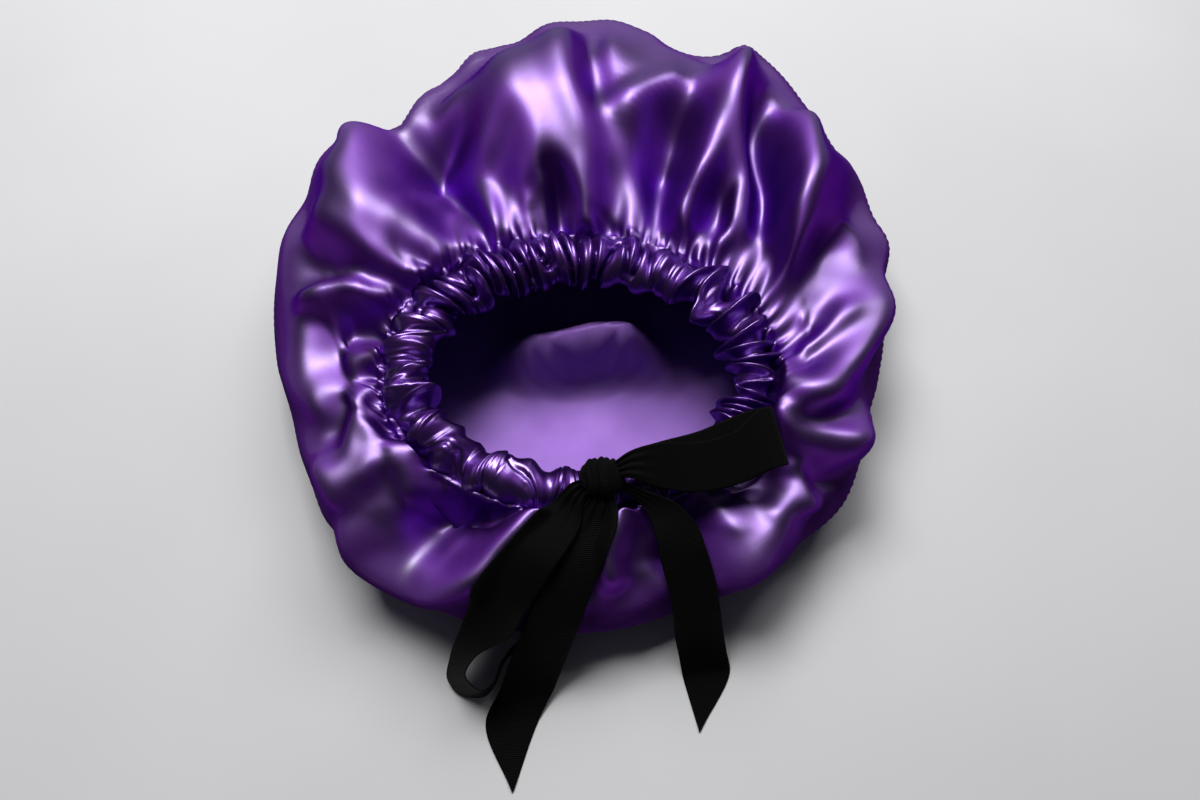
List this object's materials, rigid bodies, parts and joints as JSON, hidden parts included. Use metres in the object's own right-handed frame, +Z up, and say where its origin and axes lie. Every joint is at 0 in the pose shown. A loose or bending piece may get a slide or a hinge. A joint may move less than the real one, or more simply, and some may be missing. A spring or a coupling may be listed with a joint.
{
  "type": "sleep bonnet",
  "caption": "Round satin sleep bonnet lying crown down, with a ruched elastic edge and a wide ribbon tied in a bow at the front.",
  "frame": {"origin": "on the floor at the middle of the flattened patch that the crown rests on", "axes": "+Z up, out of the mouth. -Y towards the side where the bow is tied. +X to the right as seen from the bow's side"},
  "size_m": [0.3661, 0.4766, 0.11],
  "materials": {
    "satin": "glossy satin weave, matte on the inside",
    "casing_satin": "glossy satin, tightly ruched",
    "ribbon": "matte ribbed grosgrain"
  },
  "bodies": {
    "root": {"crown": "satin", "band_casing": "casing_satin", "bow_knot": "ribbon", "bow_loop_left": "ribbon", "bow_loop_right": "ribbon", "bow_tail_left": "ribbon", "bow_tail_right": "ribbon"}
  },
  "joints": []
}
